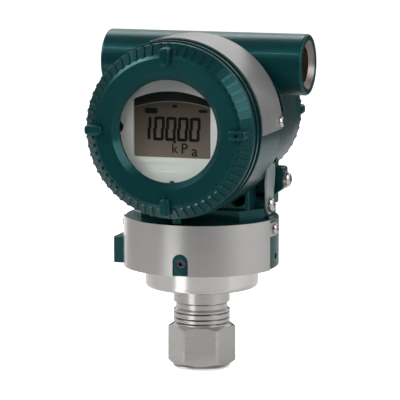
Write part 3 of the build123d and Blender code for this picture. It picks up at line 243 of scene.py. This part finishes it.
bare_aluminium = finish("bare_aluminium", (0.60, 0.60, 0.58), (0.66, 0.66, 0.64), metallic=1.0,
                        spread=RINGS_ROUND_Y, rough=(0.3, 0.4), height=0.000004)
plated_brass = finish("plated_brass", (0.55, 0.45, 0.20), (0.62, 0.52, 0.26), metallic=1.0,
                      spread=(900, 900, 900), rough=(0.25, 0.35), height=0.000004)

# %% [markdown]
# ## Rubber, plastic, boards and the face plate
#
# Rubber and plastic are dull, and the boards have a lacquer. The face plate is a pale satin sheet,
# and a painted fade, paler towards the bottom where the white table's light comes in, takes the
# place of one of its two tones.

# %% Non-metals and the face plate
seal_rubber = finish("seal_rubber", (0.008, 0.008, 0.008), (0.014, 0.014, 0.014), rough=(0.55, 0.7))
black_plastic = finish("black_plastic", (0.010, 0.010, 0.011), (0.016, 0.016, 0.017), rough=(0.4, 0.5),
                       spread=(1200, 1200, 1200), height=0.00003)
circuit_board = finish("circuit_board", (0.008, 0.06, 0.025), (0.012, 0.08, 0.035), rough=(0.25, 0.35),
                       spread=(250, 250, 250), Coat_Weight=0.4)
bezel_face = finish("bezel_face", (0.60, 0.60, 0.58), (0.72, 0.74, 0.71), metallic=0.2,
                    spread=(30, 30, 5000), rough=(0.36, 0.50), height=0.000010)
plate_tree = bezel_face.node_tree
plate_drift = next(n for n in plate_tree.nodes if n.type == "MIX")
# painted light: the plate is painted paler towards its lower edge, for the white table's light in the
# window
plate_tree.links.new(painted_light_fade(plate_tree, "bezel_plate", (0.72, 0.78, 0.72), (0.70, 0.67, 0.65)),
                     plate_drift.inputs["A"])

# %% [markdown]
# ## The window and the screen
#
# The window is plain glass: clear, flat and smooth, so it needs no bump. The liquid crystal panel
# behind it is a dark brown film, painted paler towards its lower edge as a painted reflection of the
# white table. A black mask with a pale line closes it off at the top. Its edge is an arc, so the
# mask is the distance from one point.


# %% Glass
def build_glass():
    material = bpy.data.materials.new("window_glass")
    material.use_nodes = True
    shader = material.node_tree.nodes["Principled BSDF"]
    shader.inputs["Base Color"].default_value = (0.97, 0.985, 0.98, 1)
    shader.inputs["Roughness"].default_value = 0.0
    shader.inputs["Transmission Weight"].default_value = 1.0
    shader.inputs["IOR"].default_value = 1.45
    return material


window_glass = build_glass()


# %% Screen film with its arched mask
ARCH_X = 0.0011
ARCH_Z = 0.0790
ARCH_RADIUS = 0.0672
ARCH_LINE = 0.0005


def build_screen():
    material = bpy.data.materials.new("screen")
    material.use_nodes = True
    tree = material.node_tree
    shader = tree.nodes["Principled BSDF"]
    shader.inputs["Roughness"].default_value = 0.45
    shader.inputs["Specular IOR Level"].default_value = 0.2
    place = tree.nodes.new("ShaderNodeTexCoord")
    reach = tree.nodes.new("ShaderNodeVectorMath")
    reach.operation = "DISTANCE"
    reach.inputs[1].default_value = (ARCH_X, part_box("lcd_panel")[0].y, ARCH_Z)
    beyond = tree.nodes.new("ShaderNodeMath")
    beyond.operation = "GREATER_THAN"
    beyond.inputs[1].default_value = ARCH_RADIUS
    inked = tree.nodes.new("ShaderNodeMath")
    inked.operation = "GREATER_THAN"
    inked.inputs[1].default_value = ARCH_RADIUS + ARCH_LINE
    line = tree.nodes.new("ShaderNodeMix")
    line.data_type = "RGBA"
    line.inputs["B"].default_value = (0.16, 0.14, 0.13, 1)
    mask = tree.nodes.new("ShaderNodeMix")
    mask.data_type = "RGBA"
    mask.inputs["B"].default_value = (0.003, 0.003, 0.003, 1)
    link = tree.links.new
    link(place.outputs["Object"], reach.inputs[0])
    link(reach.outputs["Value"], beyond.inputs[0])
    link(reach.outputs["Value"], inked.inputs[0])
    # painted reflection: the film is painted paler towards its lower edge, where the white table shines
    # in
    link(painted_light_fade(tree, "lcd_panel", (0.160, 0.132, 0.108), (0.030, 0.019, 0.010)), line.inputs["A"])
    link(beyond.outputs["Value"], line.inputs["Factor"])
    link(line.outputs["Result"], mask.inputs["A"])
    link(inked.outputs["Value"], mask.inputs["Factor"])
    link(mask.outputs["Result"], shader.inputs["Base Color"])
    return material


screen = build_screen()
screen_ink = finish("screen_ink", (0.002, 0.002, 0.002), (0.003, 0.003, 0.003), rough=(0.5, 0.6),
                    Specular_IOR_Level=0.1)

# %% [markdown]
# ## Every solid gets its finish
#
# The record says which finish each node has. A few nodes share a slot there and differ here: the
# name band is brushed round another axis and the leaf is a grey sheet.

# %% Hand out the materials
by_slot = {
    "housing_paint": housing_paint,
    "stainless": stainless,
    "bright_stainless": bright_stainless,
    "band_sheet": skirt_sheet,
    "screw_steel": screw_steel,
    "set_screw_steel": set_screw_steel,
    "seal_rubber": seal_rubber,
    "window_glass": window_glass,
    "bare_aluminium": bare_aluminium,
    "bezel_face": bezel_face,
    "screen": screen,
    "black_plastic": black_plastic,
    "circuit_board": circuit_board,
    "plated_brass": plated_brass,
}
for part in frame["record"]["subparts"]:
    mesh = nodes[part["node"]].data
    mesh.materials.clear()
    mesh.materials.append(by_slot[part["material_slot"]])
nodes["name_band"].data.materials[0] = name_sheet
nodes["adjuster_cover"].data.materials[0] = leaf_sheet
nodes["window_glass"].visible_shadow = False  # clear glass lets the lamps shine on the display


# %% [markdown]
# ## Screw threads in the ports
#
# The frame leaves its bores plain. A thread is a small triangle carried round a helix, so it is
# modelled as one: a three-cornered outline at the bore's wall, swept by a Screw modifier that
# rises one pitch per turn. The ends are then closed. Spinning rings would be quicker, but a ring
# has no lead and looks wrong in a port that faces the camera.


# %% Sizes of the ports
PIPE_PITCH = 0.0018
RIDGE_SIZE = 0.55  # width of the circle round a ridge's triangle, as a share of the pitch
RIDGE_STRETCH = 1.55  # of the triangle, along the bore
RIDGE_REACH = 0.18  # from the wall inwards to the triangle's middle, as a share of that width
TURN_STEPS = 40
THREAD_STOP = 0.002  # the process thread ends this far from its bore's floor
LINING_GAP = 0.00006  # from the wall to the bare metal's skin
LINING_SIDES = 96
WELD_DISTANCE = 0.00001
MOUTH_RADIUS = 0.0124  # at the wide end of a conduit port's flare
MOUTH_DEPTH = 0.0026


# %% Helper: start and end of a modelled piece
def deselect():
    for other in bpy.context.selected_objects:
        other.select_set(False)


def settle(piece, body, material):
    """Fix a piece where it stands and give it its finish and its body."""
    deselect()
    piece.select_set(True)
    bpy.context.view_layer.objects.active = piece
    bpy.ops.object.transform_apply(location=True, rotation=True, scale=True)
    piece.data.materials.clear()
    piece.data.materials.append(material)
    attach(piece, body)


# %% Helper: a thread inside a bore
def bore_thread(name, mouth, outward, bore_radius, length, pitch, body, material):
    """A helical ridge on a bore's wall, from its mouth inwards."""
    deselect()
    ridge = pitch * RIDGE_SIZE
    bpy.ops.mesh.primitive_circle_add(vertices=3, radius=ridge / 2, location=(0, 0, 0))
    piece = bpy.context.object
    piece.name = name
    bpy.ops.object.mode_set(mode="EDIT")
    bpy.ops.mesh.select_all(action="SELECT")
    bpy.ops.transform.rotate(value=pi / 2, orient_axis="X", center_override=(0, 0, 0))
    bpy.ops.transform.resize(value=(1, 1, RIDGE_STRETCH), center_override=(0, 0, 0))
    bpy.ops.transform.translate(value=(bore_radius - ridge * RIDGE_REACH, 0, -length))
    bpy.ops.object.mode_set(mode="OBJECT")
    coil = piece.modifiers.new("coil", "SCREW")
    coil.axis = "Z"
    coil.angle = 2 * pi
    coil.screw_offset = pitch
    coil.iterations = max(1, int((length - pitch) / pitch))
    coil.steps = TURN_STEPS
    coil.render_steps = TURN_STEPS
    bpy.ops.object.modifier_apply(modifier="coil")
    bpy.ops.object.mode_set(mode="EDIT")
    bpy.ops.mesh.select_all(action="DESELECT")
    bpy.ops.mesh.select_non_manifold()
    bpy.ops.mesh.edge_face_add()
    bpy.ops.mesh.select_all(action="SELECT")
    bpy.ops.mesh.normals_make_consistent(inside=False)
    bpy.ops.object.mode_set(mode="OBJECT")
    piece.rotation_euler = Vector((0, 0, 1)).rotation_difference(Vector(outward)).to_euler()
    piece.location = mouth
    settle(piece, body, material)


# %% Helper: the bare metal of a machined port
def bore_lining(name, mouth, outward, bore_radius, mouth_radius, flare, depth, body, material):
    """A skin just inside a bore and its flared mouth, where the tap cut the paint away."""
    deselect()
    bore_radius -= LINING_GAP
    mouth_radius -= LINING_GAP
    bpy.ops.mesh.primitive_cylinder_add(vertices=LINING_SIDES, radius=bore_radius, depth=depth,
                                        end_fill_type="NOTHING", location=(0, 0, -depth / 2))
    barrel = bpy.context.object
    bpy.ops.mesh.primitive_cone_add(vertices=LINING_SIDES, radius1=bore_radius, radius2=mouth_radius,
                                    depth=flare, end_fill_type="NOTHING", location=(0, 0, flare / 2))
    barrel.select_set(True)
    bpy.ops.object.join()
    piece = bpy.context.object
    piece.name = name
    bpy.ops.object.transform_apply(location=True, rotation=True, scale=True)
    bpy.ops.object.mode_set(mode="EDIT")
    bpy.ops.mesh.select_all(action="SELECT")
    bpy.ops.mesh.remove_doubles(threshold=WELD_DISTANCE)
    bpy.ops.mesh.normals_make_consistent(inside=True)
    bpy.ops.object.mode_set(mode="OBJECT")
    skin = piece.modifiers.new("skin", "SOLIDIFY")
    skin.thickness = LINING_GAP / 2
    skin.offset = 1
    bpy.ops.object.modifier_apply(modifier="skin")
    piece.rotation_euler = Vector((0, 0, 1)).rotation_difference(Vector(outward)).to_euler()
    piece.location = mouth
    settle(piece, body, material)


# %% Conduit and process threads
mounts = {mount["name"]: mount for mount in frame["record"]["mounts"]}
for side, port in ((1, "conduit_port_right"), (-1, "conduit_port_left")):
    radius = mounts[port]["dims"]["r_mm"] / 1000
    length = mounts[port]["dims"]["length_mm"] / 1000
    middle_x, axis_y, axis_z = mounts[port]["pos_m"]
    mouth = (side * (abs(middle_x) + length / 2), axis_y, axis_z)
    bore_thread(f"{port}_thread", mouth, (side, 0, 0), radius, length, PIPE_PITCH,
                "housing", thread_metal)
    bore_lining(f"{port}_skin", mouth, (side, 0, 0), radius, MOUTH_RADIUS, MOUTH_DEPTH, length,
                "housing", thread_metal)
dims = mounts["process_port"]["dims"]
bore_thread("process_port_thread", (0, 0, 0), (0, 0, -1), dims["r_mm"] / 1000,
            dims["length_mm"] / 1000 - THREAD_STOP, PIPE_PITCH, "sensor", stainless)

# %% [markdown]
# ## The figures on the screen
#
# A liquid crystal panel shows figures made of seven bars with mitred ends. Each bar is modelled as
# a flat six-cornered plate at its place, and a figure is then a choice of bars. The figures lean a
# little to the right, as on most meters, so a bar high up is moved that way and a low one back.

# %% Sizes on the screen
BARREL_HEIGHT = 0.13185  # the barrel's axis, over the process port
INK_LIFT = 0.00012  # the middle of the ink, in front of the panel
centre_z = mounts["process_port"]["pos_m"][2] + BARREL_HEIGHT
ink_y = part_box("lcd_panel")[0].y - INK_LIFT
FIGURE_HEIGHT = 0.0124
FIGURE_WIDTH = 0.0056
BAR = 0.0015  # a bar's width
BAR_GAP = 0.0003  # by which each tip of a bar stays short
LEAN = 0.10  # sideways for each metre upwards
INK_DEPTH = 0.0002
FIGURE_BARS = {"0": "abcdef", "1": "bc"}


# %% Helper: one bar
def make_bar(name, middle, length, upright):
    deselect()
    bpy.ops.mesh.primitive_plane_add(size=1, location=(0, 0, 0), rotation=(pi / 2, 0, 0))
    bar = bpy.context.object
    bar.name = name
    bpy.ops.object.transform_apply(location=True, rotation=True, scale=True)
    bpy.ops.object.mode_set(mode="EDIT")
    bpy.ops.mesh.select_all(action="SELECT")
    bpy.ops.transform.resize(value=(length - BAR, 1, BAR), center_override=(0, 0, 0))
    shape = bmesh.from_edit_mesh(bar.data)
    for side in (-1, 1):
        ends = [e for e in shape.edges if all(v.co.x * side > 0 for v in e.verts)]
        bpy.ops.mesh.select_all(action="DESELECT")
        for edge in ends:
            edge.select_set(True)
        shape.select_flush_mode()
        bpy.ops.mesh.subdivide(number_cuts=1)
        for v in shape.verts:  # the new point in the middle of this end
            v.select_set(v.co.x * side > 0 and abs(v.co.z) < BAR / 10)
        bpy.ops.transform.translate(value=(side * (BAR / 2 - BAR_GAP), 0, 0))
    bpy.ops.mesh.select_all(action="SELECT")
    if upright:
        bpy.ops.transform.rotate(value=pi / 2, orient_axis="Y", center_override=(0, 0, 0))
    bpy.ops.transform.translate(value=middle)
    bpy.ops.object.mode_set(mode="OBJECT")
    return bar


# %% Helper: one figure from its bars
def make_figure(name, figure, left, low):
    half = FIGURE_HEIGHT / 2
    inner = FIGURE_WIDTH - BAR
    across = left + FIGURE_WIDTH / 2
    upright = half - BAR / 2
    places = {
        "a": ((across, low + FIGURE_HEIGHT - BAR / 2), inner, False),
        "d": ((across, low + BAR / 2), inner, False),
        "b": ((left + FIGURE_WIDTH - BAR / 2, low + half + upright / 2), upright, True),
        "c": ((left + FIGURE_WIDTH - BAR / 2, low + half - upright / 2), upright, True),
        "e": ((left + BAR / 2, low + half - upright / 2), upright, True),
        "f": ((left + BAR / 2, low + half + upright / 2), upright, True),
    }
    bars = []
    for key in FIGURE_BARS[figure]:
        (x, z), length, stands = places[key]
        shear = LEAN * (z - low - half)
        bars.append(make_bar(f"{name}_{key}", (x + shear, ink_y, centre_z + z), length + BAR, stands))
    return bars


# %% Join bars into one piece with a little depth
def join_ink(name, bars):
    deselect()
    for bar in bars:
        bar.select_set(True)
    bpy.context.view_layer.objects.active = bars[0]
    bpy.ops.object.join()
    piece = bpy.context.object
    piece.name = name
    thick = piece.modifiers.new("thick", "SOLIDIFY")
    thick.thickness = INK_DEPTH
    thick.offset = 0
    bpy.ops.object.modifier_apply(modifier="thick")
    settle(piece, "housing", screen_ink)


# %% The reading
FIGURE_LOW = -0.0057
FIGURE_LEFT = -0.0101
FIGURE_PITCH = 0.0064
ONE_SHIFT = 0.0008  # the leading one stands further left
NOUGHTS = 4
POINT_X = 0.0011
POINT_SIZE = BAR * 0.9
bars = make_figure("figure_1", "1", FIGURE_LEFT - FIGURE_PITCH - ONE_SHIFT, FIGURE_LOW)
for place in range(NOUGHTS):
    bars += make_figure(f"figure_{place + 2}", "0", FIGURE_LEFT + place * FIGURE_PITCH, FIGURE_LOW)
deselect()
bpy.ops.mesh.primitive_plane_add(
    size=POINT_SIZE, location=(POINT_X, ink_y, centre_z + FIGURE_LOW - BAR / 4), rotation=(pi / 2, 0, 0))
bpy.ops.object.transform_apply(location=True, rotation=True, scale=True)
bars.append(bpy.context.object)
join_ink("screen_reading", bars)
print("reading bars:", len(bars))


# %% [markdown]
# Below the figures stands the unit of pressure, and small flags sit along the screen's top edge.
# Text is typed as a text object, made a mesh and only then put in place.


# %% Unit
UNIT = (  # letter, size, left edge, base line
    ("k", 0.0070, -0.0006, -0.0118),
    ("P", 0.0078, 0.0043, -0.0120),
    ("a", 0.0080, 0.0100, -0.0130),
)
LETTER_STEPS = 3


def make_words(name, words, size, left, low):
    deselect()
    bpy.ops.object.text_add(location=(left, ink_y, centre_z + low), rotation=(pi / 2, 0, 0))
    piece = bpy.context.object
    piece.name = name
    piece.data.body = words
    piece.data.size = size
    piece.data.extrude = INK_DEPTH / 2
    piece.data.resolution_u = LETTER_STEPS
    bpy.ops.object.convert(target="MESH")
    settle(bpy.context.object, "housing", screen_ink)


for n, (letter, size, left, low) in enumerate(UNIT):
    make_words(f"screen_unit_{n + 1}", letter, size, left, low)

# %% Flags along the top
FLAGS = (  # middle, height over the barrel's axis, length
    (-0.0115, 0.0101, 0.0076),
    (-0.0115, 0.0089, 0.0076),
    (0.0012, 0.0122, 0.0034),
    (0.0164, 0.0101, 0.0054),
)
join_ink("screen_flags", [make_bar(f"flag_{n}", (x, ink_y, centre_z + z), length, False)
                          for n, (x, z, length) in enumerate(FLAGS)])

# %% [markdown]
# ## Camera
#
# The picture was taken with a long lens, from a little to the right and a little above. A long
# lens keeps the tube's two edges nearly parallel.

# %% Camera
AZIMUTH = radians(18.18)
PITCH_DOWN = radians(8.43)
CAMERA_DISTANCE = 1.42451
CAMERA_HEIGHT = 0.30084
SENSOR_WIDTH = 36
FOCAL_LENGTH = 245.48
SHIFT_X = -0.0046
SHIFT_Y = -0.0032
NEAREST = 0.05
deselect()
bpy.ops.object.camera_add(
    location=(CAMERA_DISTANCE * sin(AZIMUTH), -CAMERA_DISTANCE * cos(AZIMUTH), CAMERA_HEIGHT),
    rotation=(pi / 2 - PITCH_DOWN, 0, AZIMUTH))
camera = bpy.context.object
camera.data.sensor_width = SENSOR_WIDTH
camera.data.lens = FOCAL_LENGTH
camera.data.shift_x = SHIFT_X
camera.data.shift_y = SHIFT_Y
camera.data.clip_start = NEAREST
scene.camera = camera

# %% [markdown]
# ## Floor, world and lamps
#
# The object stands on a white floor under a white sky. The floor shines a little wherever the
# camera or a reflection meets it, which makes it white there and leaves the object's soft shadow.
# The sky looks white in the same way, and lights the rest with less than half of that. Three large
# soft lamps stand at the upper left, at the right and behind, and a long thin one draws a line
# along the tube. Metal and gloss show what stands round them, so grey cards, which the camera
# can't see, keep the paint deep. Four of them lie on the floor. The two at the front leave a wedge
# of white between them, which turns into the bright upright streak on every round of steel.


# %% Floor and world
FLOOR_SIZE = 12
FLOOR_GLOW = 0.58
SKY_LIGHT = 0.45


def seen_rays(tree):
    """One for camera, glossy and transmission rays, and nought for the rest."""
    rays = tree.nodes.new("ShaderNodeLightPath")
    seen = tree.nodes.new("ShaderNodeMath")
    seen.operation = "MAXIMUM"
    seen_all = tree.nodes.new("ShaderNodeMath")
    seen_all.operation = "MAXIMUM"
    tree.links.new(rays.outputs["Is Camera Ray"], seen.inputs[0])
    tree.links.new(rays.outputs["Is Glossy Ray"], seen.inputs[1])
    tree.links.new(seen.outputs["Value"], seen_all.inputs[0])
    tree.links.new(rays.outputs["Is Transmission Ray"], seen_all.inputs[1])
    return seen_all.outputs["Value"]


def build_floor(glow):
    deselect()
    bpy.ops.mesh.primitive_plane_add(size=FLOOR_SIZE, location=(0, 0, 0))
    floor = bpy.context.object
    floor.name = "floor"
    material = bpy.data.materials.new("floor")
    material.use_nodes = True
    shader = material.node_tree.nodes["Principled BSDF"]
    shader.inputs["Base Color"].default_value = (0.93, 0.93, 0.93, 1)
    shader.inputs["Roughness"].default_value = 0.9
    shader.inputs["Specular IOR Level"].default_value = 0.1
    shader.inputs["Emission Color"].default_value = (1, 1, 1, 1)
    level = material.node_tree.nodes.new("ShaderNodeMath")
    level.operation = "MULTIPLY"
    level.inputs[1].default_value = glow
    material.node_tree.links.new(seen_rays(material.node_tree), level.inputs[0])
    material.node_tree.links.new(level.outputs["Value"], shader.inputs["Emission Strength"])
    floor.data.materials.append(material)


def build_world(strength):
    world = bpy.data.worlds.new("sky")
    scene.world = world
    world.use_nodes = True
    tree = world.node_tree
    sky = tree.nodes["Background"]
    sky.inputs["Color"].default_value = (1, 1, 1, 1)
    level = tree.nodes.new("ShaderNodeMapRange")
    level.inputs["To Min"].default_value = strength
    level.inputs["To Max"].default_value = 1.0
    tree.links.new(seen_rays(tree), level.inputs["Value"])
    tree.links.new(level.outputs["Result"], sky.inputs["Strength"])


build_floor(FLOOR_GLOW)
build_world(SKY_LIGHT)


# %% Lamps and cards
AIM = (0, 0, 0.09)
LAMPS = (  # name, place, width, height, watts
    ("key", (-1.05, -0.7, 1.0), 0.7, 0.7, 13),
    ("side", (1.0, -0.3, 0.7), 0.5, 0.9, 8),
    ("strip", (-0.35, -0.72, 0.92), 1.2, 0.05, 2.5),
    ("rear", (-0.4, 0.75, 1.25), 0.8, 0.6, 6),
)
CARDS = (  # name, place, turn in degrees, width, height, grey
    ("front_card", (-0.1, -0.62, 0.25), (90, 0, 0), 1.9, 0.52, 0.02),
    ("brow_card", (0, -1.15, 0.95), (90, 0, 0), 2.6, 0.85, 0.05),
    ("top_card", (0, -0.05, 1.38), (0, 0, 0), 2.6, 2.2, 0.08),
    ("right_card", (1.3, -0.4, 0.6), (90, 0, 90), 1.3, 1.4, 0.15),
    ("left_card", (-1.3, -0.2, 0.6), (90, 0, 90), 1.7, 1.4, 0.10),
    ("rear_card", (0.25, 0.90, 0.17), (90, 0, 0), 1.9, 0.34, 0.06),
    ("floor_card_far", (0.25, 0.76, 0.002), (0, 0, 0), 1.9, 0.36, 0.10),
    ("floor_card_right", (0.483, -0.614, 0.001), (0, 0, -12), 1.2, 1.0, 0.52),
    ("floor_card_left", (-0.777, -0.079, 0.001), (0, 0, -34), 1.2, 1.0, 0.48),
    ("floor_card_rear", (0.50, 0.32, 0.0015), (0, 0, -12), 1.4, 0.9, 0.66),
)


def place_lamp(name, spot, width, height, watts):
    deselect()
    bpy.ops.object.light_add(type="AREA", location=spot)
    lamp = bpy.context.object
    lamp.name = name
    lamp.data.shape = "RECTANGLE"
    lamp.data.size = width
    lamp.data.size_y = height
    lamp.data.energy = watts
    lamp.rotation_euler = (Vector(AIM) - Vector(spot)).to_track_quat("-Z", "Y").to_euler()


def place_card(name, spot, turned, width, height, shade):
    """A grey sheet that reflections show and the camera doesn't."""
    deselect()
    bpy.ops.mesh.primitive_plane_add(size=1, location=spot, rotation=[radians(angle) for angle in turned])
    card = bpy.context.object
    card.name = name
    card.scale = (width, height, 1)
    material = bpy.data.materials.new(name)
    material.use_nodes = True
    shader = material.node_tree.nodes["Principled BSDF"]
    shader.inputs["Base Color"].default_value = (shade, shade, shade, 1)
    shader.inputs["Roughness"].default_value = 0.9
    shader.inputs["Specular IOR Level"].default_value = 0.0
    card.data.materials.append(material)
    card.visible_camera = False
    card.visible_diffuse = False
    card.visible_shadow = False


for lamp in LAMPS:
    place_lamp(*lamp)
for card in CARDS:
    place_card(*card)
